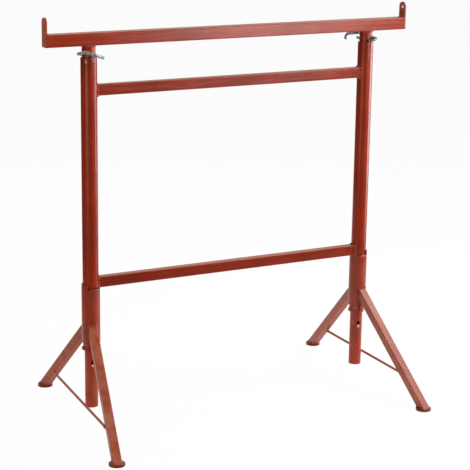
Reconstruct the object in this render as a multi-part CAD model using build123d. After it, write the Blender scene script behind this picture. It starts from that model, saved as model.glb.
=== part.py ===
from build123d import *
import os

# Driving dimensions in millimetres.
# X runs along the beam, -Y is the front, Z is up from the floor, origin on the floor at mid span.
spacing = 939.0
upright_od = 48.3
upright_wall = 3.2
upright_foot_z = 230.0
upright_rim_z = 1115.5

head_tube_od = 40.0
head_tube_wall = 2.6
head_tube_end_z = 50.0
hole_d = 11.0
hole_count = 6
lowest_hole_z = 194.3
# The holes were drilled a little off square to the beam.
bore_turn = -9.0

beam_length = 1202.0
beam_depth = 38.0
beam_height = 36.5
beam_wall = 2.5
beam_corner = 3.0
beam_bottom_z = 1151.0

tab_width = 32.0
tab_thickness = 5.0
tab_top_z = 1236.0
tab_hole_d = 12.0

rail_depth = 25.0
rail_height = 32.5
rail_wall = 2.0
rail_corner = 2.5
upper_rail_z = 1004.0
lower_rail_z = 424.4

lug_width = 7.0
lug_height = 10.0
lug_reach = 29.3
lug_z = 238.0

sleeve_od = 56.0
sleeve_id = 49.1
sleeve_bottom_z = 255.0
sleeve_rim_z = 437.0
window_half_width = 14.7
window_floor_z = 424.0

leg_side = 26.0
leg_wall = 2.0
leg_corner = 2.5
leg_reach = 357.5
leg_slope = 41.15
leg_splay = 6.75
disc_d = 48.0
disc_thickness = 6.0
brace_d = 8.0
brace_z = 78.0
brace_out = 42.0

# The feet are not quite square to the frame: each is turned by the slack in its sleeve window.
foot_turn = {"left": -4.2, "right": -0.9}

# Locking pins, bent by hand from round bar, so the two tails differ. Each is drawn with the shank along Y,
# and its bar is drawn with twelve sides to keep the facets few.
pin_d = 8.0
pin_sides = 12
pin_rest_gap = 0.3
pin_bend_y = -27.5
pin_bend_r = 7.0
pin_return_x = 24.4
pin_sweep_r = 15.0
pin_hook_r = 11.0
pin_end_bevel = 1.2
pin_forms = {
    "left": {"tip_y": 22.0, "bend_rise": 2.0, "tail_y": 68.0, "sweep_rise": 21.0, "end_x": -29.0, "end_rise": 1.5},
    "right": {"tip_y": 68.0, "bend_rise": 7.0, "tail_y": 115.0, "sweep_rise": 9.0, "end_x": -20.5, "end_rise": 6.0},
}
pin_hook_drop = {"left": 0.0, "right": 17.5}

pin_z = upright_rim_z + pin_d / 2 + pin_rest_gap
sides = {"left": -1, "right": 1}


def column(diameter, z0, z1):
    """Solid round bar standing on the Z axis."""
    return Pos(0, 0, (z0 + z1) / 2) * Cylinder(diameter / 2, z1 - z0)


def round_tube(outer, wall, z0, z1):
    return column(outer, z0, z1) - column(outer - 2 * wall, z0 - 1, z1 + 1)


def box_section(depth, height, corner, wall):
    """Rolled hollow section, drawn in its own plane."""
    return RectangleRounded(depth, height, corner) - Rectangle(depth - 2 * wall, height - 2 * wall)


def make_head_tube():
    """Inner tube with a row of holes bored through from front to back."""
    body = round_tube(head_tube_od, head_tube_wall, head_tube_end_z, beam_bottom_z)
    pitch = (pin_z - lowest_hole_z) / (hole_count - 1)
    bore = Rot(0, 0, bore_turn) * Cylinder(hole_d / 2, 2 * head_tube_od, rotation=(90, 0, 0))
    for index in range(hole_count):
        body -= Pos(0, 0, lowest_hole_z + index * pitch) * bore
    return body


def make_beam():
    section = box_section(beam_depth, beam_height, beam_corner, beam_wall)
    bar = extrude(Plane.YZ * section, amount=beam_length / 2, both=True)
    return Pos(0, 0, beam_bottom_z + beam_height / 2) * bar


def make_tab(side):
    """Flat end plate, round at the top, with a hole for a guard rail or tie."""
    eye_z = tab_top_z - tab_width / 2
    plate = Pos(0, (beam_bottom_z + eye_z) / 2) * Rectangle(tab_width, eye_z - beam_bottom_z)
    plate += Pos(0, eye_z) * Circle(tab_width / 2)
    plate -= Pos(0, eye_z) * Circle(tab_hole_d / 2)
    body = extrude(Plane.YZ * plate, amount=tab_thickness / 2, both=True)
    return Pos(side * (beam_length + tab_thickness) / 2, 0, 0) * body


def make_rail(bottom_z):
    """Cross rail with saddle-cut ends that fit round the uprights."""
    section = box_section(rail_depth, rail_height, rail_corner, rail_wall)
    bar = extrude(Plane.YZ * section, amount=spacing / 2, both=True)
    bar = Pos(0, 0, bottom_z + rail_height / 2) * bar
    for side in (-1, 1):
        bar -= Pos(side * spacing / 2, 0, 0) * column(upright_od, bottom_z - 10, bottom_z + rail_height + 10)
    return bar


def make_lug(direction):
    """Small block welded near the upright's lower end; it keeps the foot from dropping off."""
    block = Pos(direction * lug_reach / 2, 0, lug_z) * Box(lug_reach, lug_width, lug_height)
    block -= column(upright_od, lug_z - lug_height, lug_z + lug_height)
    return block


def leg_bar(side_length, wall):
    """Sloping square tube in the XZ plane, running out along +X and down to the disc."""
    length = 3 * leg_reach
    section = Rectangle(side_length, side_length)
    if wall > 0:
        section = box_section(side_length, side_length, leg_corner, wall)
    bar = extrude(Plane.YZ * section, amount=length / 2, both=True)
    return Pos(leg_reach, 0, disc_thickness) * Rot(0, leg_slope, 0) * bar


def make_leg():
    """Leg coped to the sleeve at the top and cut level for its disc at the bottom."""
    bar = leg_bar(leg_side, leg_wall)
    keep = Pos(leg_reach, 0, 300 + disc_thickness) * Box(2 * leg_reach, 4 * leg_side, 600)
    bar = bar & keep
    bar -= column(sleeve_od, -10, 1400)
    return max(bar.solids(), key=lambda piece: piece.volume)


def make_disc():
    return Pos(leg_reach, 0, disc_thickness / 2) * Cylinder(disc_d / 2, disc_thickness)


def make_brace():
    """Round rod along Y between the two legs on the outer side, its ends cut to the legs' faces."""
    rod = Pos(-brace_out, 0, brace_z) * Cylinder(brace_d / 2, 2 * leg_reach, rotation=(90, 0, 0))
    for angle in (-90 - leg_splay, 90 + leg_splay):
        rod -= Rot(0, 0, angle) * leg_bar(leg_side, 0)
    return min(rod.solids(), key=lambda piece: abs(piece.center().Y))


def make_sleeve():
    """Swivel sleeve; the window in its rim takes the lower rail and stops the quarter turn at both ends."""
    body = column(sleeve_od, sleeve_bottom_z, sleeve_rim_z) - column(sleeve_id, 0, 1400)
    tall = 60.0
    reach = 40.0
    cut = Pos(reach / 2, -reach / 2, 0) * Box(reach, reach, tall)
    cut += Pos(reach / 2, 0, 0) * Box(reach, 2 * window_half_width, tall)
    cut += Pos(0, -reach / 2, 0) * Box(2 * window_half_width, reach, tall)
    return body - Pos(0, 0, window_floor_z + tall / 2) * cut


def make_foot():
    """All the pieces of the left foot about its own axis, before it is turned and moved."""
    leg = make_leg()
    disc = make_disc()
    front = Rot(0, 0, -90 - leg_splay)
    rear = Rot(0, 0, 90 + leg_splay)
    return {
        "sleeve": make_sleeve(),
        "front_leg": front * leg,
        "rear_leg": rear * leg,
        "front_disc": front * disc,
        "rear_disc": rear * disc,
        "brace_rod": make_brace(),
    }


def make_pin(form, hook_drop):
    """Locking pin bent from one round bar: shank, U-bend, return, sweep round the tube and tail."""
    tip = (0, form["tip_y"], 0)
    end = (form["end_x"], form["tail_y"], form["end_rise"])
    corners = [
        tip,
        (0, pin_bend_y, 0),
        (pin_return_x, pin_bend_y, form["bend_rise"]),
        (pin_return_x, form["tail_y"], form["sweep_rise"]),
        end,
    ]
    radii = [pin_bend_r, pin_bend_r, pin_sweep_r]
    if hook_drop > 0:
        corners.append((end[0], end[1], end[2] - hook_drop))
        radii.append(pin_hook_r)
    route = FilletPolyline(corners, radius=radii)
    section = Plane(origin=tip, z_dir=(0, -1, 0)) * RegularPolygon(pin_d / 2, pin_sides)
    rod = sweep(section, path=route)
    tip_face = rod.faces().sort_by_distance(tip)[0]
    return chamfer(tip_face.edges(), pin_end_bevel)


pieces = {"head_beam": make_beam(), "upper_rail": make_rail(upper_rail_z), "lower_rail": make_rail(lower_rail_z)}
foot_pieces = make_foot()
for name, side in sides.items():
    place = Pos(side * spacing / 2, 0, 0)
    pieces[name + "_end_tab"] = make_tab(side)
    pieces[name + "_head_tube"] = place * make_head_tube()
    pieces[name + "_upright"] = place * round_tube(upright_od, upright_wall, upright_foot_z, upright_rim_z)
    pieces[name + "_outer_stop_lug"] = place * make_lug(side)
    pieces[name + "_inner_stop_lug"] = place * make_lug(-side)
    for foot_name, foot_piece in foot_pieces.items():
        handed = foot_piece if side < 0 else mirror(foot_piece, about=Plane.YZ)
        pieces[name + "_" + foot_name] = place * Rot(0, 0, foot_turn[name]) * handed
    pin = make_pin(pin_forms[name], pin_hook_drop[name])
    pieces[name + "_pin"] = place * Pos(0, 0, pin_z) * Rot(0, 0, bore_turn + (0 if side > 0 else 180)) * pin

os.makedirs("parts", exist_ok=True)
for node, shape in pieces.items():
    solids = shape.solids()
    export_step(solids[0] if len(solids) == 1 else Compound(children=solids), "parts/" + node + ".step")
    print(node, len(solids), "solid", round(shape.volume), "mm3")
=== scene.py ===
import bpy
import math
import numpy as np
from mathutils import Matrix, Vector


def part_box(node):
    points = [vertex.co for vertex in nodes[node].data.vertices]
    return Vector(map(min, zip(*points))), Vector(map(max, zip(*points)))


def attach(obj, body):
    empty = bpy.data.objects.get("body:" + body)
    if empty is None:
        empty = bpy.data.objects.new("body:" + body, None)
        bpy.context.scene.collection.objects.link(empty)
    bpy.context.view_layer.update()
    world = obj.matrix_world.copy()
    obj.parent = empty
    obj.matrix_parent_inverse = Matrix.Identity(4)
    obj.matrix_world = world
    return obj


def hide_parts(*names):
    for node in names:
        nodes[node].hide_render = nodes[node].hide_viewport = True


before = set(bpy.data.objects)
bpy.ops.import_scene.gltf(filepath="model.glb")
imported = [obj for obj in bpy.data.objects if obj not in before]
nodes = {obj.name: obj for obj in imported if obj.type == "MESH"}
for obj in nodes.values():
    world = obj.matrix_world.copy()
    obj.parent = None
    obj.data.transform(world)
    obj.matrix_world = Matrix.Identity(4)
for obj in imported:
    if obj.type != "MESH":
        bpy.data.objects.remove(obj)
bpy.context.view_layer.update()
print("frame loaded:", len(nodes), "nodes")

mm = 0.001  # sizes and places on the trestle are in millimetres; dust heights, bumps and the studio in metres
sideSign = {"left": -1.0, "right": 1.0}


def corners(node):
    # a piece's lowest and highest corners, in millimetres
    low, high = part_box(node)
    return np.array(low) / mm, np.array(high) / mm


def middle(node):
    low, high = corners(node)
    return (low + high) / 2


def span(node):
    low, high = corners(node)
    return high - low


half = float(middle("right_upright")[0])  # from mid span to an upright's axis
rimZ = float(corners("right_upright")[1][2])  # top of the uprights
uprightR, tubeR, sleeveR = (span(node)[0] / 2 for node in ("right_upright", "right_head_tube", "left_sleeve"))
trestle = {  # sizes that the pieces' boxes don't give
    "railCorner": 2.5, "lugCorner": 1.0,
    "legSide": 26.0, "legCorner": 2.5, "legSlope": 41.15,
    "braceR": 4.0, "braceZ": 78.0, "braceOut": 42.0,
}


def metres(values):
    return [value * mm for value in values]


def srgb(r, g, b):
    # screen values 0 to 255 turned into the linear values that a shader socket takes
    v = np.array([r, g, b]) / 255.0
    lin = np.where(v <= 0.04045, v / 12.92, ((v + 0.055) / 1.055) ** 2.4)
    return (float(lin[0]), float(lin[1]), float(lin[2]), 1.0)


def put(tree, kind, **values):
    # new shader node; a value goes to the property of that name, or else to the input
    node = tree.nodes.new(kind)
    for key, value in values.items():
        if hasattr(node, key):
            setattr(node, key, value)
        else:
            node.inputs[key.replace("_", " ")].default_value = value
    return node


def mathNode(tree, operation, a, b=None, clamp=False):
    node = put(tree, "ShaderNodeMath", operation=operation, use_clamp=clamp)
    for index, value in enumerate((a, b)):
        if value is None:
            continue
        if isinstance(value, (int, float)):
            node.inputs[index].default_value = value
        else:
            tree.links.new(value, node.inputs[index])
    return node.outputs[0]


def weighted(tree, a, shareA, b, shareB):
    # shareA times a plus shareB times b
    return mathNode(tree, "ADD", mathNode(tree, "MULTIPLY", a, shareA), mathNode(tree, "MULTIPLY", b, shareB))


def strongest(tree, masks):
    # the largest of the masks at each point, or None where there are none
    best = None
    for mask in masks:
        best = mask if best is None else mathNode(tree, "MAXIMUM", best, mask)
    return best


def ramp(tree, value, low, high, toLow=0.0, toHigh=1.0):
    node = put(tree, "ShaderNodeMapRange", interpolation_type="SMOOTHSTEP")
    tree.links.new(value, node.inputs["Value"])
    for key, number in (("From Min", low), ("From Max", high), ("To Min", toLow), ("To Max", toHigh)):
        node.inputs[key].default_value = number
    return node.outputs["Result"]


def mixColour(tree, factor, a, b):
    node = put(tree, "ShaderNodeMix", data_type="RGBA")
    for socket, value in ((node.inputs[0], factor), (node.inputs[6], a), (node.inputs[7], b)):
        if isinstance(value, (tuple, float, int)):
            socket.default_value = value
        else:
            tree.links.new(value, socket)
    return node.outputs[2]


def noise(tree, coords, scale, detail, rough):
    node = put(tree, "ShaderNodeTexNoise", Scale=scale, Detail=detail, Roughness=rough)
    tree.links.new(coords, node.inputs["Vector"])
    return node.outputs["Fac"]


spotCore = 0.35  # share of a mark's radius inside which it is at full strength


def spots(tree, coords, marks):
    # 1 inside each ellipsoid (centre, radii), fading to 0 at its skin; the strongest one counts
    masks = []
    for centre, radii in marks:
        off = put(tree, "ShaderNodeVectorMath", operation="SUBTRACT")
        off.inputs[1].default_value = metres(centre)
        tree.links.new(coords, off.inputs[0])
        part = put(tree, "ShaderNodeVectorMath", operation="DIVIDE")
        part.inputs[1].default_value = metres(radii)
        tree.links.new(off.outputs[0], part.inputs[0])
        size = put(tree, "ShaderNodeVectorMath", operation="LENGTH")
        tree.links.new(part.outputs[0], size.inputs[0])
        masks.append(ramp(tree, size.outputs["Value"], spotCore, 1.0, 1.0, 0.0))
    return strongest(tree, masks)


def newShader(name, **values):
    # empty material with one principled shader, and the object's own coordinates
    material = bpy.data.materials.new(name)
    material.use_nodes = True
    tree = material.node_tree
    tree.nodes.clear()
    out = put(tree, "ShaderNodeOutputMaterial")
    shader = put(tree, "ShaderNodeBsdfPrincipled", **values)
    tree.links.new(shader.outputs[0], out.inputs["Surface"])
    coords = put(tree, "ShaderNodeTexCoord").outputs["Object"]
    return material, tree, shader, coords


edgeSamples = 6


def bumps(tree, shader, edge, layers):
    # normal: rounded edges first, then each height pattern (strength, distance, pattern) on top
    normal = put(tree, "ShaderNodeBevel", samples=edgeSamples, Radius=edge).outputs["Normal"]
    for strength, distance, pattern in layers:
        bump = put(tree, "ShaderNodeBump", Strength=strength, Distance=distance)
        tree.links.new(pattern, bump.inputs["Height"])
        tree.links.new(normal, bump.inputs["Normal"])
        normal = bump.outputs["Normal"]
    tree.links.new(normal, shader.inputs["Normal"])


paintLook = {
    "deep": srgb(136, 34, 0), "fresh": srgb(154, 41, 2), "dustAndLight": srgb(172, 105, 76),
    # grime darkens real specks and pits, and also paints shade into gaps and corners
    "chalkAndHighlight": srgb(226, 190, 182), "steel": srgb(128, 116, 114), "grimeAndShade": srgb(48, 18, 12),
    "gloss": 0.4, "rough": (0.22, 0.32), "dustRough": 0.3, "steelMetal": 0.7, "shadeMost": 0.92,
    "dustLevel": 0.04,  # metres above the floor, where the dust starts to thin out
    "grainStretch": 0.05,  # how much slower the pattern changes along a bar than across it
    "edge": 0.0012, "peel": (0.05, 0.0004), "sag": (0.1, 0.0012),  # edge radius, then strength and height
}
# scale, detail and roughness of each pattern in the paint
paintNoise = {
    "broad": (7.0, 3.0, 0.55), "mottle": (160.0, 5.0, 0.6), "streak": (130.0, 3.0, 0.5),
    "cloud": (26.0, 2.5, 0.5), "specks": (420.0, 2.0, 0.5), "pools": (150.0, 2.0, 0.5),
    "ragged": (330.0, 4.0, 0.7), "peel": (520.0, 1.0, 0.4), "sag": (60.0, 2.0, 0.4),
}
# the stretch of values over which each layer comes in and, where set, its strengths at the two ends
paintBand = {
    "broad": (0.35, 0.68), "mottle": (0.55, 0.75, 0.0, 0.35), "streak": (0.58, 0.72, 0.0, 0.35),
    "cloud": (0.3, 0.7, 0.35, 1.0), "specks": (0.72, 0.78, 0.0, 0.6), "pools": (0.5, 0.66),
    "pits": (0.34, 0.48), "turnedUp": (0.6, 0.95), "worn": (0.24, 0.36), "chalkAndHighlight": (0.2, 0.4, 0.0, 0.9),
    "rough": (0.3, 0.7),
}


def paintLayer(tree, coords, key):
    return ramp(tree, noise(tree, coords, *paintNoise[key]), *paintBand[key])


def grain(tree, axes, along):
    # coordinates squeezed along the bar: x or z, or down a leg's slope, which falls away from y = 0 both ways
    x, y, z = axes
    stretch = paintLook["grainStretch"]
    joined = put(tree, "ShaderNodeCombineXYZ")
    if along == "leg":
        slope = math.radians(trestle["legSlope"])
        away = mathNode(tree, "ABSOLUTE", y)
        run = weighted(tree, away, math.cos(slope), z, -math.sin(slope))
        y = weighted(tree, away, math.sin(slope), z, math.cos(slope))
        z = mathNode(tree, "MULTIPLY", run, stretch)
    elif along == "x":
        x = mathNode(tree, "MULTIPLY", x, stretch)
    elif along == "z":
        z = mathNode(tree, "MULTIPLY", z, stretch)
    for value, socket in zip((x, y, z), joined.inputs):
        tree.links.new(value, socket)
    return joined.outputs[0]


def dustAndLightOnTop(tree, most):
    # dust on faces turned up, which also stands as painted light: top faces made paler as if lit from above
    facing = put(tree, "ShaderNodeSeparateXYZ")
    tree.links.new(put(tree, "ShaderNodeNewGeometry").outputs["True Normal"], facing.inputs[0])
    return ramp(tree, facing.outputs["Z"], *paintBand["turnedUp"], 0.0, most)


def windowLine(tree, axes, window):
    # rubbed floor of the rim window: a thin level line where the wall faces inward and to the front
    x, y, z = axes
    inward = mathNode(tree, "SUBTRACT", half * mm, mathNode(tree, "ABSOLUTE", x))
    facing = mathNode(tree, "SUBTRACT", inward, y)
    opened = ramp(tree, facing, *metres(window["opens"]))
    level = ramp(tree, z, *metres(window["under"]))
    above = ramp(tree, z, *metres(window["over"]), 1.0, 0.0)
    return mathNode(tree, "MULTIPLY", mathNode(tree, "MULTIPLY", opened, level), above)


def redOxidePaint(name, along="none", tone=1.0, gloss=1.0, spatter=0.0,
                  dustTop=0.42, dustMost=0.1, dustLeast=0.0, topDustAndLight=0.0,
                  bare=(), chalkAndHighlight=(), grimeAndShade=(), rim=None, window=None, soleShade=None):
    # red oxide paint: broad tone shifts, fine mottling, streaks along the piece, dust low down and on top,
    # where it is partly painted light, marks where it was rubbed, painted shade spots and painted highlights
    material, tree, shader, coords = newShader(name, Specular_IOR_Level=paintLook["gloss"] * gloss)
    axes = put(tree, "ShaderNodeSeparateXYZ")
    tree.links.new(coords, axes.inputs[0])
    z = axes.outputs["Z"]
    lengthwise = grain(tree, axes.outputs, along)
    streak = noise(tree, lengthwise, *paintNoise["streak"])
    deep, fresh = (tuple(tone * c for c in paintLook[key][:3]) + (1.0,) for key in ("deep", "fresh"))
    colour = mixColour(tree, paintLayer(tree, coords, "broad"), deep, fresh)
    colour = mixColour(tree, paintLayer(tree, coords, "mottle"), colour, fresh)
    colour = mixColour(tree, ramp(tree, streak, *paintBand["streak"]), colour, deep)
    low = ramp(tree, z, paintLook["dustLevel"], dustTop, dustMost, dustLeast)
    dustAndLight = mathNode(tree, "MULTIPLY", low, paintLayer(tree, coords, "cloud"))
    # dust, and painted light, on faces turned up
    if topDustAndLight > 0:
        dustAndLight = strongest(tree, [dustAndLight, dustAndLightOnTop(tree, topDustAndLight)])
    colour = mixColour(tree, dustAndLight, colour, paintLook["dustAndLight"])
    # dark specks and pits, the painted shade spots and the painted shade low on the discs, all in one dark
    # colour
    darkAndShade = [paintLayer(tree, coords, "specks")]
    if spatter > 0:
        pools = noise(tree, coords, *paintNoise["pools"])
        splashed = ramp(tree, pools, *paintBand["pools"], 0.0, spatter)
        colour = mixColour(tree, splashed, colour, paintLook["dustAndLight"])
        darkAndShade.append(ramp(tree, pools, *paintBand["pits"], spatter, 0.0))
    # painted shade: dark spots in shadowed gaps, at the rim windows' corners and beside the stop lug
    if grimeAndShade:
        darkAndShade.append(mathNode(tree, "MULTIPLY", spots(tree, coords, grimeAndShade), paintLook["shadeMost"]))
    # painted shade: the discs darker towards their bottom edge, where they meet the floor
    if soleShade is not None:
        darkAndShade.append(ramp(tree, z, *metres(soleShade["fade"]), soleShade["most"], 0.0))
    colour = mixColour(tree, strongest(tree, darkAndShade), colour, paintLook["grimeAndShade"])
    rough = ramp(tree, streak, *paintBand["rough"], *paintLook["rough"])
    rough = mathNode(tree, "ADD", rough, mathNode(tree, "MULTIPLY", dustAndLight, paintLook["dustRough"]), True)
    ragged = noise(tree, coords, *paintNoise["ragged"])
    rubbed = []
    if bare:
        rubbed.append(spots(tree, coords, bare))
    if rim is not None:
        rubbed.append(ramp(tree, z, *metres(rim["fade"]), 0.0, rim["most"]))
    if window is not None:
        rubbed.append(windowLine(tree, axes.outputs, window))
    if rubbed:
        worn = mathNode(tree, "MULTIPLY", strongest(tree, rubbed), ragged)
        worn = ramp(tree, worn, *paintBand["worn"])
        colour = mixColour(tree, worn, colour, paintLook["steel"])
        tree.links.new(mathNode(tree, "MULTIPLY", worn, paintLook["steelMetal"]), shader.inputs["Metallic"])
    # pale spots: painted highlights on the lips below the head tubes' holes and on the right sleeve's window
    # floor, partly pale chalky wear
    if chalkAndHighlight:
        pale = mathNode(tree, "MULTIPLY", spots(tree, coords, chalkAndHighlight), ragged)
        colour = mixColour(tree, ramp(tree, pale, *paintBand["chalkAndHighlight"]), colour, paintLook["chalkAndHighlight"])
    tree.links.new(colour, shader.inputs["Base Color"])
    tree.links.new(rough, shader.inputs["Roughness"])
    peel = noise(tree, coords, *paintNoise["peel"])
    sag = noise(tree, lengthwise, *paintNoise["sag"])
    bumps(tree, shader, paintLook["edge"], ((*paintLook["peel"], peel), (*paintLook["sag"], sag)))
    return material


def nearUpright(name, *marks):
    # marks given from one upright's axis: place, then radii
    axisX = sideSign[name] * half
    return tuple(((axisX + across, y, z), radii) for (across, y, z), radii in marks)


rubbedRim = {"fade": (rimZ - 4, rimZ), "most": 0.7}
# the level bars' tops paler: dust, and painted light from above
levelBar = {"along": "x", "topDustAndLight": 0.8}
slopedLeg = {"along": "leg", "dustTop": 0.45, "dustMost": 0.65, "dustLeast": 0.35}
paints = {
    "beam": {**levelBar, "tone": 0.97},
    "upperRail": {**levelBar, "tone": 0.8},
    "lowerRail": {**levelBar, "tone": 0.72},
    # dust laid all over the tab, also standing for a painted sheen: the pale reflection on its faces
    "tab": {"along": "z", "dustLeast": 0.6},
    "leftUpright": {
        "along": "z", "tone": 0.87, "gloss": 0.85, "rim": rubbedRim,
        "bare": nearUpright("left", ((-16.9, -17.3, rimZ - 10), (6.0, 6.0, 8.0)),
                            ((5.3, -23.6, rimZ - 7), (5.0, 5.0, 10.0)),
                            ((-19.5, -14.2, 249.0), (7.0, 9.0, 4.0))),
        # painted shade in the corners of the sleeve's rim window
        "grimeAndShade": nearUpright("left", ((-15.5, -18.5, 428.0), (3.0, 3.0, 6.0)),
                             ((6.7, -23.2, 428.0), (4.0, 4.0, 7.0))),
    },
    "rightUpright": {
        "along": "z", "tone": 0.9, "rim": rubbedRim,
        "bare": nearUpright("right", ((0.6, -24.1, 1080.0), (2.2, 5.0, 25.0)),
                            ((-15.0, -18.9, 246.5), (12.0, 9.0, 4.2))),
        # painted shade in the gap beside the stop lug
        "grimeAndShade": nearUpright("right", ((-3.7, -23.9, 243.0), (3.5, 4.0, 14.0))),
    },
    "leftHeadTube": {
        "along": "z", "tone": 1.2, "gloss": 0.8, "dustMost": 0.15,
        "bare": nearUpright("left", ((-3.6, -19.7, 119.3), (1.5, 4.0, 10.0))),
        # painted highlight on the lip below the bore's hole
        "chalkAndHighlight": nearUpright("left", ((-3.9, -19.6, 183.5), (5.5, 4.0, 6.0))),
    },
    "rightHeadTube": {
        "along": "z", "dustMost": 0.06,
        "bare": nearUpright("right", ((6.0, -19.0, 150.0), (1.2, 4.0, 8.0)),
                            ((-17.3, -10.1, 193.0), (2.0, 2.6, 11.0)),
                            ((-19.0, -6.2, 116.0), (1.6, 2.6, 8.0))),
        # painted highlight on the lip below the bore's hole
        "chalkAndHighlight": nearUpright("right", ((-2.5, -19.8, 182.0), (6.0, 4.0, 7.5))),
    },
    "sleeve": {
        "along": "z", "tone": 0.85, "dustTop": 0.5, "dustMost": 0.3, "dustLeast": 0.1,
        # how far round the rim window starts, and the levels where its line comes in and goes out
        "window": {"opens": (9.0, 12.0), "under": (421.8, 423.4), "over": (424.3, 424.5)},
        # painted shade in the rim windows' corners and in the gap beside the right stop lug
        "grimeAndShade": (
            *nearUpright("left", ((-16.8, -22.4, 425.0), (4.5, 4.5, 7.0)),
                         ((7.8, -26.9, 423.0), (4.5, 4.5, 7.0))),
            *nearUpright("right", ((-24.1, -14.2, 423.0), (4.5, 4.5, 6.0)),
                         ((18.9, -20.6, 428.0), (4.5, 5.0, 7.0)),
                         ((-4.3, -27.7, 258.0), (3.5, 4.0, 8.0))),
        ),
        # painted highlight on the window floor
        "chalkAndHighlight": nearUpright("right", ((2.8, -27.9, 423.5), (2.6, 3.0, 4.0))),
    },
    # the left legs' paints are lighter copies of the leg paint, the front one also dustier: painted light for
    # the light falling on those legs
    "leftRearLeg": {**slopedLeg, "tone": 0.95, "gloss": 0.2},
    "leftFrontLeg": {**slopedLeg, "tone": 1.05, "dustMost": 0.8, "dustLeast": 0.45},
    "rightRearLeg": {**slopedLeg, "tone": 0.95, "gloss": 0.6},
    "leg": {**slopedLeg, "tone": 0.88, "dustLeast": 0.3},
    "disc": {"tone": 0.6, "gloss": 0.5, "dustTop": 0.3, "dustMost": 0.3,
             # painted shade along the disc's bottom edge
             "soleShade": {"fade": (1.0, 7.0), "most": 0.7}},
    "weld": {"gloss": 0.6, "spatter": 0.35, "dustTop": 0.4, "dustMost": 0.5, "dustLeast": 0.3},
}
finish = {key: redOxidePaint(key + "Paint", **look) for key, look in paints.items()}

zincLook = {
    "pale": srgb(172, 175, 178), "dull": srgb(108, 111, 115), "stain": srgb(84, 78, 74),
    "cloud": (90.0, 4.0, 0.6), "marks": (260.0, 5.0, 0.7), "grit": (300.0, 3.0, 0.55),  # as in paintNoise
    "cloudBand": (0.35, 0.65), "marksBand": (0.58, 0.7), "marksMost": 0.8,
    "roughBand": (0.3, 0.7), "roughSpread": 0.15, "edge": 0.0016, "gritBump": (0.2, 0.0004),
}


def zincRod(name, wornDark, metal, rough, tipShade=()):
    # zinc plated bar: grey metal with a cloudy spangle and darker handling marks, all over where worn dark
    material, tree, shader, coords = newShader(name, Metallic=metal)
    cloud = noise(tree, coords, *zincLook["cloud"])
    colour = mixColour(tree, ramp(tree, cloud, *zincLook["cloudBand"]), zincLook["dull"], zincLook["pale"])
    handled = noise(tree, coords, *zincLook["marks"])
    marks = ramp(tree, handled, *zincLook["marksBand"], wornDark, zincLook["marksMost"])
    colour = mixColour(tree, marks, colour, zincLook["stain"])
    # painted shade: a dark, less metallic spot where the pin's tip sits in the shadow of its hole
    if tipShade:
        tipShadeMask = spots(tree, coords, tipShade)
        colour = mixColour(tree, tipShadeMask, colour, paintLook["grimeAndShade"])
        unshaded = mathNode(tree, "SUBTRACT", 1.0, tipShadeMask)
        tree.links.new(mathNode(tree, "MULTIPLY", unshaded, metal), shader.inputs["Metallic"])
    tree.links.new(colour, shader.inputs["Base Color"])
    uneven = ramp(tree, cloud, *zincLook["roughBand"], rough + zincLook["roughSpread"], rough)
    tree.links.new(uneven, shader.inputs["Roughness"])
    grit = noise(tree, coords, *zincLook["grit"])
    bumps(tree, shader, zincLook["edge"], ((*zincLook["gritBump"], grit),))
    return material


zincs = {
    "leftPin": {"wornDark": 0.0, "metal": 0.35, "rough": 0.38,
                # painted shade on the shank's tip, in its hole's shadow
                "tipShade": nearUpright("left", ((-3.4, -22.5, 1120.0), (8.0, 4.0, 8.0)))},
    "rightPin": {"wornDark": 0.25, "metal": 0.85, "rough": 0.22},
}
finish.update({key: zincRod(key + "Zinc", **look) for key, look in zincs.items()})

# the finish that a piece wears, by the first of these words that its name holds
wears = {
    "left_upright": "leftUpright", "right_upright": "rightUpright",
    "upper_rail": "upperRail", "lower_rail": "lowerRail", "beam": "beam", "tab": "tab",
    "left_head_tube": "leftHeadTube", "right_head_tube": "rightHeadTube", "lug": "weld", "sleeve": "sleeve",
    "left_rear_leg": "leftRearLeg", "left_front_leg": "leftFrontLeg", "right_rear_leg": "rightRearLeg",
    "leg": "leg", "brace": "leg", "disc": "disc", "left_pin": "leftPin", "right_pin": "rightPin",
}
for nodeName, node in nodes.items():
    key = next(style for word, style in wears.items() if word in nodeName)
    node.data.materials.clear()
    node.data.materials.append(finish[key])
print("materials on", len(nodes), "nodes")


def carryRound(path, heading, lean, radius, around):
    # a round profile carried along the path: each ring is r (cos a) towards the lean and r (sin a) across it,
    # both square to the heading
    normal = lean - heading * np.sum(lean * heading, axis=1, keepdims=True)
    normal /= np.linalg.norm(normal, axis=1, keepdims=True)
    across = np.cross(heading, normal)
    a = np.linspace(0.0, 2 * math.pi, around, endpoint=False)[None, :, None]
    ring = np.cos(a) * normal[:, None] + np.sin(a) * across[:, None]
    return path[:, None] + radius[:, None, None] * ring


def gridFaces(rows, cols, closed, offset):
    # quads between neighbouring rings; a closed run's last ring joins its first, and open ends are capped
    i = np.arange(rows if closed else rows - 1)[:, None]
    j = np.arange(cols)[None, :]
    here, there = i * cols + offset, (i + 1) % rows * cols + offset
    nextJ = (j + 1) % cols
    faces = np.stack([here + j, here + nextJ, there + nextJ, there + j], axis=-1).reshape(-1, 4).tolist()
    if not closed:
        faces.append((np.arange(cols)[::-1] + offset).tolist())
        faces.append((np.arange(cols) + (rows - 1) * cols + offset).tolist())
    return faces


def newPiece(name, body, look, points, faces):
    # a smooth mesh object at the origin that rides on a body; the points come in millimetres
    mesh = bpy.data.meshes.new(name)
    mesh.from_pydata((points * mm).tolist(), [], faces)
    mesh.polygons.foreach_set("use_smooth", np.ones(len(mesh.polygons), dtype=bool))
    mesh.update()
    mesh.materials.append(finish[look])
    piece = bpy.data.objects.new(name, mesh)
    bpy.context.scene.collection.objects.link(piece)
    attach(piece, body)
    return piece


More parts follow.
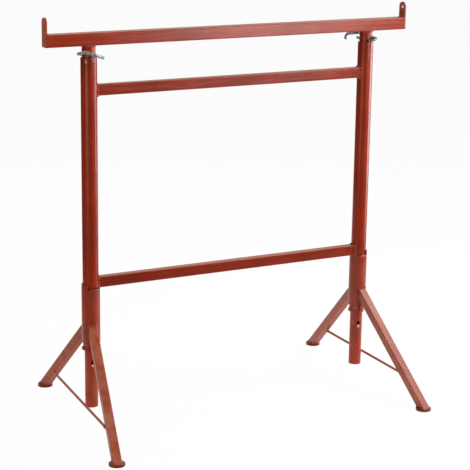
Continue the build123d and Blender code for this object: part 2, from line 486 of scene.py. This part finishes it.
bead = {
    "radius": {"rail": 3.8, "lug": 1.4, "tube": 3.0, "tabTop": 2.8, "tabSide": 2.2,
               "leg": 3.2, "disc": 2.2, "brace": 1.5},
    "seed": {"rail": 16, "lug": 31, "tube": 41, "tab": 51, "leg": 61, "brace": 91},
    "sideStep": 10, "rearStep": 4,  # between the seeds of the legs
    "pitch": 8.5, "ripple": 0.6, "hollow": 0.6,  # a weld pool's length, its rise and its mean level
    "wobble": (0.6, 17.0), "swell": (0.08, 11.0),  # strength and length of the hand's slow shifts
    "taper": 8, "tip": 0.02,  # how late an open run tapers, and what is left at its tip
    "tabOff": 0.8, "tabInset": 1.0,  # how far the runs lie off the tab, and stop short of the beam's edges
    "around": 10, "loopSteps": 260, "ringSteps": 240, "rodSteps": 90, "lineSteps": 110,
}


def roundedLoop(halfWide, halfHigh, corner):
    # closed rectangle with round corners: points at even arc length along four sides and four quarter circles
    straightW, straightH, arc = 2 * (halfWide - corner), 2 * (halfHigh - corner), math.pi * corner / 2
    lengths = np.array([straightW, arc, straightH, arc] * 2)
    ends = np.cumsum(lengths)
    s = np.linspace(0.0, ends[-1], bead["loopSteps"], endpoint=False)
    piece = np.searchsorted(ends, s, side="right")
    t = s - (ends - lengths)[piece]
    quarter = piece // 2
    turn = quarter * math.pi / 2
    isArc = piece % 2 == 1
    w = np.where(quarter % 2 == 0, halfWide, halfHigh)
    h = np.where(quarter % 2 == 0, halfHigh, halfWide)
    a = np.where(isArc, t / corner, 0.0)
    u = np.where(isArc, w - corner + corner * np.sin(a), t - (w - corner))
    v = np.where(isArc, h - corner + corner * np.cos(a), h)
    return u * np.cos(turn) + v * np.sin(turn), -u * np.sin(turn) + v * np.cos(turn)


def ripples(length, count, seed):
    # bead height along the run: one hump per weld pool, with a slow swell of the hand that laid it
    s = np.linspace(0.0, length, count)
    phase = np.random.default_rng(seed).uniform(0, 2 * math.pi, 3)
    wobble, wobbleLength = bead["wobble"]
    swell, swellLength = bead["swell"]
    drift = wobble * np.sin(s / wobbleLength + phase[1])
    pools = np.abs(np.sin(math.pi * s / bead["pitch"] + phase[0] + drift)) - bead["hollow"]
    return 1.0 + bead["ripple"] * pools + swell * np.sin(s / swellLength + phase[2])


def beadGrid(path, radius, seed, up):
    # a round profile carried along the path, its radius following the ripples; a run with no up side is a
    # closed loop that leans out from its middle, and an open one tapers to a point at both ends
    closed = up is None
    heading = np.roll(path, -1, axis=0) - np.roll(path, 1, axis=0) if closed else np.gradient(path, axis=0)
    heading /= np.linalg.norm(heading, axis=1, keepdims=True)
    lean = path - path.mean(axis=0) if closed else np.tile(up, (len(path), 1))
    length = np.linalg.norm(np.diff(path, axis=0), axis=1).sum()
    r = radius * ripples(length, len(path), seed)
    if not closed:
        t = np.linspace(-1.0, 1.0, len(path))
        r *= np.sqrt(np.clip(1.0 - t ** bead["taper"], 0.0, 1.0)) * (1.0 - bead["tip"]) + bead["tip"]
    return carryRound(path, heading, lean, r, bead["around"])


def weldPiece(name, body, runs, look="weld"):
    # one object from several bead runs, each a path, a radius, a seed and an up side
    points, faces, offset = [], [], 0
    for path, radius, seed, up in runs:
        grid = beadGrid(path, radius, seed, up)
        faces += gridFaces(grid.shape[0], grid.shape[1], up is None, offset)
        points.append(grid.reshape(-1, 3))
        offset += grid.shape[0] * grid.shape[1]
    newPiece(name, body, look, np.concatenate(points), faces)


def saddleRun(node, name, toward, kind, seedStep):
    # outline of a bar that meets an upright: y and z from the bar's rounded box, x on the tube's wall
    y, z = roundedLoop(*span(node)[1:] / 2, trestle[kind + "Corner"])
    x = sideSign[name] * half + toward * np.sqrt(uprightR ** 2 - y ** 2)
    path = np.stack([x, y, z + middle(node)[2]], axis=1)
    return path, bead["radius"][kind], bead["seed"][kind] + seedStep, None


def legAxes(name, place):
    # where a leg stands on its disc, how far out that is, and its axes: across it, down its slope and above
    disc = name + "_" + place + "_disc"
    foot = np.append(middle(disc)[:2], corners(disc)[1][2])
    out = foot - np.array([sideSign[name] * half, 0.0, foot[2]])
    reach = np.linalg.norm(out)
    radial, upright = out / reach, np.array([0.0, 0.0, 1.0])
    slope = math.radians(trestle["legSlope"])
    across = np.array([-radial[1], radial[0], 0.0])
    down = radial * math.cos(slope) - upright * math.sin(slope)
    above = radial * math.sin(slope) + upright * math.cos(slope)
    return foot, reach, across, down, above


def legRuns(name, place, seed):
    # the leg's outline slid up the leg until it meets the sleeve's round wall, and down to the disc's top
    foot, reach, across, down, above = legAxes(name, place)
    slope = math.radians(trestle["legSlope"])
    u, v = roundedLoop(trestle["legSide"] / 2, trestle["legSide"] / 2, trestle["legCorner"])
    flat = foot + u[:, None] * across + v[:, None] * above
    toSleeve = (np.sqrt(sleeveR ** 2 - u ** 2) - reach - v * math.sin(slope)) / math.cos(slope)
    toDisc = v * math.cos(slope) / math.sin(slope)
    top = flat + toSleeve[:, None] * down
    low = flat + toDisc[:, None] * down
    return (top, bead["radius"]["leg"], seed, None), (low, bead["radius"]["disc"], seed + 1, None)


def braceRun(name, place, seed):
    # the rod's circle slid along the rod, which lies level and parallel to a line from disc to disc, until it
    # meets the leg's under face
    foot, *_, above = legAxes(name, place)
    alongRod = middle(name + "_rear_disc") - middle(name + "_front_disc")
    alongRod /= np.linalg.norm(alongRod)
    outward = np.array([alongRod[1], -alongRod[0], 0.0])
    side = sideSign[name]
    axis = np.array([side * half, 0.0, trestle["braceZ"]]) + side * trestle["braceOut"] * outward
    a = np.linspace(0.0, 2 * math.pi, bead["rodSteps"], endpoint=False)[:, None]
    ring = axis + trestle["braceR"] * (np.cos(a) * outward + np.sin(a) * np.array([0.0, 0.0, 1.0]))
    gap = -trestle["legSide"] / 2 - (ring - foot) @ above
    return ring + (gap / (alongRod @ above))[:, None] * alongRod, bead["radius"]["brace"], seed, None


def ringRun(centre, circleR, radius, seed):
    # level circle: a tube's end welded to the face above it
    a = np.linspace(0.0, 2 * math.pi, bead["ringSteps"], endpoint=False)
    return np.array(centre) + circleR * np.stack([np.cos(a), np.sin(a), 0 * a], axis=1), radius, seed, None


def lineRun(start, end, up, radius, seed):
    # straight run: the two ends mixed in even steps
    t = np.linspace(0.0, 1.0, bead["lineSteps"])[:, None]
    return np.array(start) * (1 - t) + np.array(end) * t, radius, seed, np.array(up, dtype=float)


def tabRuns(name):
    # one run across the top of the beam's end, and one up each side of the tab
    side = sideSign[name]
    low, high = corners("head_beam")
    y, off, inset = span(name + "_end_tab")[1] / 2, bead["tabOff"], bead["tabInset"]
    seed, topR, sideR = bead["seed"]["tab"], bead["radius"]["tabTop"], bead["radius"]["tabSide"]
    endX, inX = side * high[0], side * (high[0] - off)
    runs = [lineRun((inX, -y, high[2]), (inX, y, high[2]), (-side, 0, 1), topR, seed)]
    for way in (-1, 1):
        atY = way * (y + off)
        seed += 1
        start, end = (endX, atY, low[2] + inset), (endX, atY, high[2] - inset)
        runs.append(lineRun(start, end, (0, way, 0), sideR, seed))
    return runs


for name, side in sideSign.items():
    hand = int(side)  # added to the seeds, so that the two sides' beads differ
    for rail in ("upper", "lower"):
        railRun = saddleRun(rail + "_rail", name, -side, "rail", hand)
        weldPiece(name + "." + rail + ".rail.weld", "frame", [railRun])
    lugRuns = [saddleRun(name + "_outer_stop_lug", name, way, "lug", way) for way in (-1, 1)]
    weldPiece(name + ".lug.weld", "frame", lugRuns)
    tubeEnd = (side * half, 0.0, corners("head_beam")[0][2])
    tubeRun = ringRun(tubeEnd, tubeR, bead["radius"]["tube"], bead["seed"]["tube"] + hand)
    weldPiece(name + ".tube.weld", "head", [tubeRun])
    weldPiece(name + ".tab.weld", "head", tabRuns(name))
    for rear, place in enumerate(("front", "rear")):
        legName, footBody = name + "." + place, name + "_foot"
        legSeed = bead["seed"]["leg"] + bead["rearStep"] * rear + bead["sideStep"] * hand
        topRun, discRun = legRuns(name, place, legSeed)
        weldPiece(legName + ".leg.weld", footBody, [topRun])
        weldPiece(legName + ".disc.weld", footBody, [discRun], "disc")
        weldPiece(legName + ".brace.weld", footBody, [braceRun(name, place, bead["seed"]["brace"] + rear)])
print("weld beads made")

# the locking pins as true round bars, in place of the twelve-sided ones: they lie on the uprights' rims
pinBar = {
    "diameter": 9.4, "restGap": 0.3, "boreTurn": -9.0, "endBevel": 1.2,
    "bendY": -27.5, "returnX": 25.1, "bendR": 7.0, "sweepR": 15.0, "hookR": 11.0,
    "around": 20, "bendSteps": 10, "lean": (0.0, 0.7, 0.7),  # no stretch of the bar runs along the lean
    "left": {"turn": 180.0, "tipY": 22.0, "bendRise": 2.0, "tailY": 68.0, "sweepRise": 21.0,
             "endX": -29.0, "endRise": 1.5, "hookDrop": 0.0},
    "right": {"turn": 0.0, "tipY": 68.0, "bendRise": 7.0, "tailY": 115.0, "sweepRise": 9.0,
              "endX": -20.5, "endRise": 6.0, "hookDrop": 17.5},
}


def pinCorners(form):
    # the bar's corners with the shank along y: tip, U-bend, return, sweep round the tube, tail and its hook
    turns = [
        (0, form["tipY"], 0),
        (0, pinBar["bendY"], 0),
        (pinBar["returnX"], pinBar["bendY"], form["bendRise"]),
        (pinBar["returnX"], form["tailY"], form["sweepRise"]),
        (form["endX"], form["tailY"], form["endRise"]),
    ]
    radii = [pinBar["bendR"], pinBar["bendR"], pinBar["sweepR"]]
    if form["hookDrop"] > 0:
        turns.append((form["endX"], form["tailY"], form["endRise"] - form["hookDrop"]))
        radii.append(pinBar["hookR"])
    return np.array(turns, dtype=float), np.array(radii)


def bentLine(turns, radii):
    # straight runs joined by arcs: each corner is cut back by r tan(turn / 2), and the arc that starts there
    # goes r (sin a) along the run before and r (1 - cos a) aside from it
    runs = np.diff(turns, axis=0)
    runs /= np.linalg.norm(runs, axis=1, keepdims=True)
    before, after = runs[:-1], runs[1:]
    turn = np.arccos(np.sum(before * after, axis=1, keepdims=True))
    aside = after - before * np.cos(turn)
    aside /= np.linalg.norm(aside, axis=1, keepdims=True)
    start = turns[1:-1] - radii[:, None] * np.tan(turn / 2) * before
    a = np.linspace(0.0, 1.0, pinBar["bendSteps"])[None, :, None] * turn[:, None, :]
    shift = np.sin(a) * before[:, None] + (1 - np.cos(a)) * aside[:, None]
    arcs = start[:, None] + radii[:, None, None] * shift
    heads = np.cos(a) * before[:, None] + np.sin(a) * aside[:, None]
    tip, end, bevel = turns[:1], turns[-1:], pinBar["endBevel"]
    path = np.concatenate([tip, tip + bevel * runs[:1], arcs.reshape(-1, 3), end - bevel * runs[-1:], end])
    heading = np.concatenate([runs[:1], runs[:1], heads.reshape(-1, 3), runs[-1:], runs[-1:]])
    return path, heading


def pinPiece(name):
    # a round profile carried along the bent line, a little narrower at both ends, then turned to its bore
    form = pinBar[name]
    path, heading = bentLine(*pinCorners(form))
    radius = np.full(len(path), pinBar["diameter"] / 2)
    radius[[0, -1]] -= pinBar["endBevel"]
    grid = carryRound(path, heading, np.tile(pinBar["lean"], (len(path), 1)), radius, pinBar["around"])
    spin = np.array(Matrix.Rotation(math.radians(pinBar["boreTurn"] + form["turn"]), 3, "Z"))
    level = rimZ + pinBar["diameter"] / 2 + pinBar["restGap"]
    points = grid.reshape(-1, 3) @ spin.T + np.array([sideSign[name] * half, 0.0, level])
    faces = gridFaces(len(path), pinBar["around"], False, 0)
    piece = newPiece(name + ".pin.bar", name + "_pin", name + "Pin", points, faces)
    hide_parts(name + "_pin")


for name in sideSign:
    pinPiece(name)
print("pins made")

view = {
    "place": (-2.19495, -4.22033, 1.7706), "yaw": 27.64, "pitch": 14.54, "roll": 0.84,
    "lens": 121.13, "sensor": 36.0,
}
yaw, pitch, roll = (math.radians(view[key]) for key in ("yaw", "pitch", "roll"))
viewAxis = (math.sin(yaw), math.cos(yaw), 0.0)  # the way that the camera looks, in plan
level = Vector((math.cos(yaw), -math.sin(yaw), 0.0))
ahead = Vector((math.sin(yaw) * math.cos(pitch), math.cos(yaw) * math.cos(pitch), -math.sin(pitch)))
above = level.cross(ahead)
right = math.cos(roll) * level + math.sin(roll) * above
top = -math.sin(roll) * level + math.cos(roll) * above
cameraData = bpy.data.cameras.new("photoCamera")
cameraData.sensor_fit, cameraData.sensor_width, cameraData.lens = "HORIZONTAL", view["sensor"], view["lens"]
camera = bpy.data.objects.new("photoCamera", cameraData)
camera.matrix_world = Matrix.Translation(view["place"]) @ Matrix((right, top, -ahead)).transposed().to_4x4()
bpy.context.scene.collection.objects.link(camera)
bpy.context.scene.camera = camera
print("camera placed")

studio = {
    "floorSize": 60.0, "floorColour": (0.9, 0.9, 0.9, 1.0), "floorGlow": 0.95,
    # the white sweep runs back from the object along the camera's view: where it starts, how wide it is, how
    # far round the backdrop reaches, and how dim the room beside it is
    "sweepFront": (-0.9, -0.3), "sweepSide": (1.2, 1.8), "backdrop": (0.55, 0.85), "roomDim": 0.03,
    "worldColour": (1.0, 1.0, 1.0, 1.0), "worldStrength": 0.34,
    "openSpread": 180.0,  # degrees, of a lamp with no spread of its own
    "lamps": {
        "sideRight": {"place": (2.7, -0.5, 0.65), "aim": (0.2, 0.0, 0.7), "face": (1.7, 1.3), "power": 44.0},
        "frontRight": {"place": (1.3, -2.2, 1.3), "aim": (0.2, 0.0, 1.15), "face": (1.1, 0.9), "power": 8.8,
                       "spread": 95.0},
        "frontLeft": {"place": (-2.93, -1.72, 0.45), "aim": (-0.2, 0.0, 0.8), "face": (1.8, 0.6),
                      "power": 9.0},
        "highRight": {"place": (2.2, -0.8, 3.2), "aim": (0.2, 0.0, 0.3), "face": (1.6, 1.6), "power": 68.0},
        "highLeft": {"place": (-2.4, 0.3, 2.9), "aim": (-0.3, 0.0, 0.5), "face": (1.4, 1.4), "power": 25.0},
        "highBack": {"place": (-0.6, 2.6, 3.2), "aim": (0.0, 0.0, 0.6), "face": (1.8, 1.8), "power": 20.0},
    },
}


def seenDirectly(tree):
    # 1 for what the camera sees itself, in a reflection or through glass, 0 for the light on the object
    ray = put(tree, "ShaderNodeLightPath").outputs
    return strongest(tree, [ray["Is Camera Ray"], ray["Is Glossy Ray"], ray["Is Transmission Ray"]])


def dotWith(tree, vector, axis):
    node = put(tree, "ShaderNodeVectorMath", operation="DOT_PRODUCT")
    node.inputs[1].default_value = axis
    tree.links.new(vector, node.inputs[0])
    return node.outputs["Value"]


def paleness(tree, sweep):
    # white to the camera everywhere; reflections see white on the sweep and the dim room beside it
    direct = put(tree, "ShaderNodeLightPath").outputs["Is Camera Ray"]
    lit = strongest(tree, [direct, sweep])
    return mathNode(tree, "ADD", mathNode(tree, "MULTIPLY", lit, 1.0 - studio["roomDim"]), studio["roomDim"])


def mixShaders(tree, factor, a, b, out):
    blend = put(tree, "ShaderNodeMixShader")
    for value, socket in zip((factor, a.outputs[0], b.outputs[0]), blend.inputs):
        tree.links.new(value, socket)
    tree.links.new(blend.outputs[0], out.inputs["Surface"])


def floorMaterial():
    # pale floor that looks white to the camera and in reflections, with a trace of the object's shadow left
    material = bpy.data.materials.new("studioFloor")
    material.use_nodes = True
    tree = material.node_tree
    tree.nodes.clear()
    out = put(tree, "ShaderNodeOutputMaterial")
    matt = put(tree, "ShaderNodeBsdfDiffuse", Color=studio["floorColour"])
    glow = put(tree, "ShaderNodeEmission")
    coords = put(tree, "ShaderNodeTexCoord").outputs["Object"]
    depth = ramp(tree, dotWith(tree, coords, viewAxis), *studio["sweepFront"])
    offSide = mathNode(tree, "ABSOLUTE", dotWith(tree, coords, (viewAxis[1], -viewAxis[0], 0.0)))
    width = ramp(tree, offSide, *studio["sweepSide"], 1.0, 0.0)
    tree.links.new(paleness(tree, mathNode(tree, "MULTIPLY", depth, width)), glow.inputs["Strength"])
    mixShaders(tree, mathNode(tree, "MULTIPLY", seenDirectly(tree), studio["floorGlow"]), matt, glow, out)
    return material


far = studio["floorSize"] / 2
floorMesh = bpy.data.meshes.new("studioFloor")
floorMesh.from_pydata([(-far, -far, 0), (far, -far, 0), (far, far, 0), (-far, far, 0)], [], [(0, 1, 2, 3)])
floorMesh.materials.append(floorMaterial())
floor = bpy.data.objects.new("studioFloor", floorMesh)
bpy.context.scene.collection.objects.link(floor)

world = bpy.data.worlds.new("studioWorld")
bpy.context.scene.world = world
world.use_nodes = True
tree = world.node_tree
tree.nodes.clear()
worldOut = put(tree, "ShaderNodeOutputWorld")
soft = put(tree, "ShaderNodeBackground", Color=studio["worldColour"], Strength=studio["worldStrength"])
white = put(tree, "ShaderNodeBackground", Color=studio["worldColour"])
heading = dotWith(tree, put(tree, "ShaderNodeTexCoord").outputs["Generated"], viewAxis)
tree.links.new(paleness(tree, ramp(tree, heading, *studio["backdrop"])), white.inputs["Strength"])
mixShaders(tree, seenDirectly(tree), soft, white, worldOut)

for name, lamp in studio["lamps"].items():
    data = bpy.data.lights.new(name, "AREA")
    data.shape = "ELLIPSE"
    data.size, data.size_y = lamp["face"]
    data.energy = lamp["power"]
    data.spread = math.radians(lamp.get("spread", studio["openSpread"]))
    light = bpy.data.objects.new(name, data)
    light.location = lamp["place"]
    light.rotation_euler = (Vector(lamp["aim"]) - Vector(lamp["place"])).to_track_quat("-Z", "Y").to_euler()
    bpy.context.scene.collection.objects.link(light)

bpy.context.scene.view_settings.view_transform = "Standard"
print("studio ready")
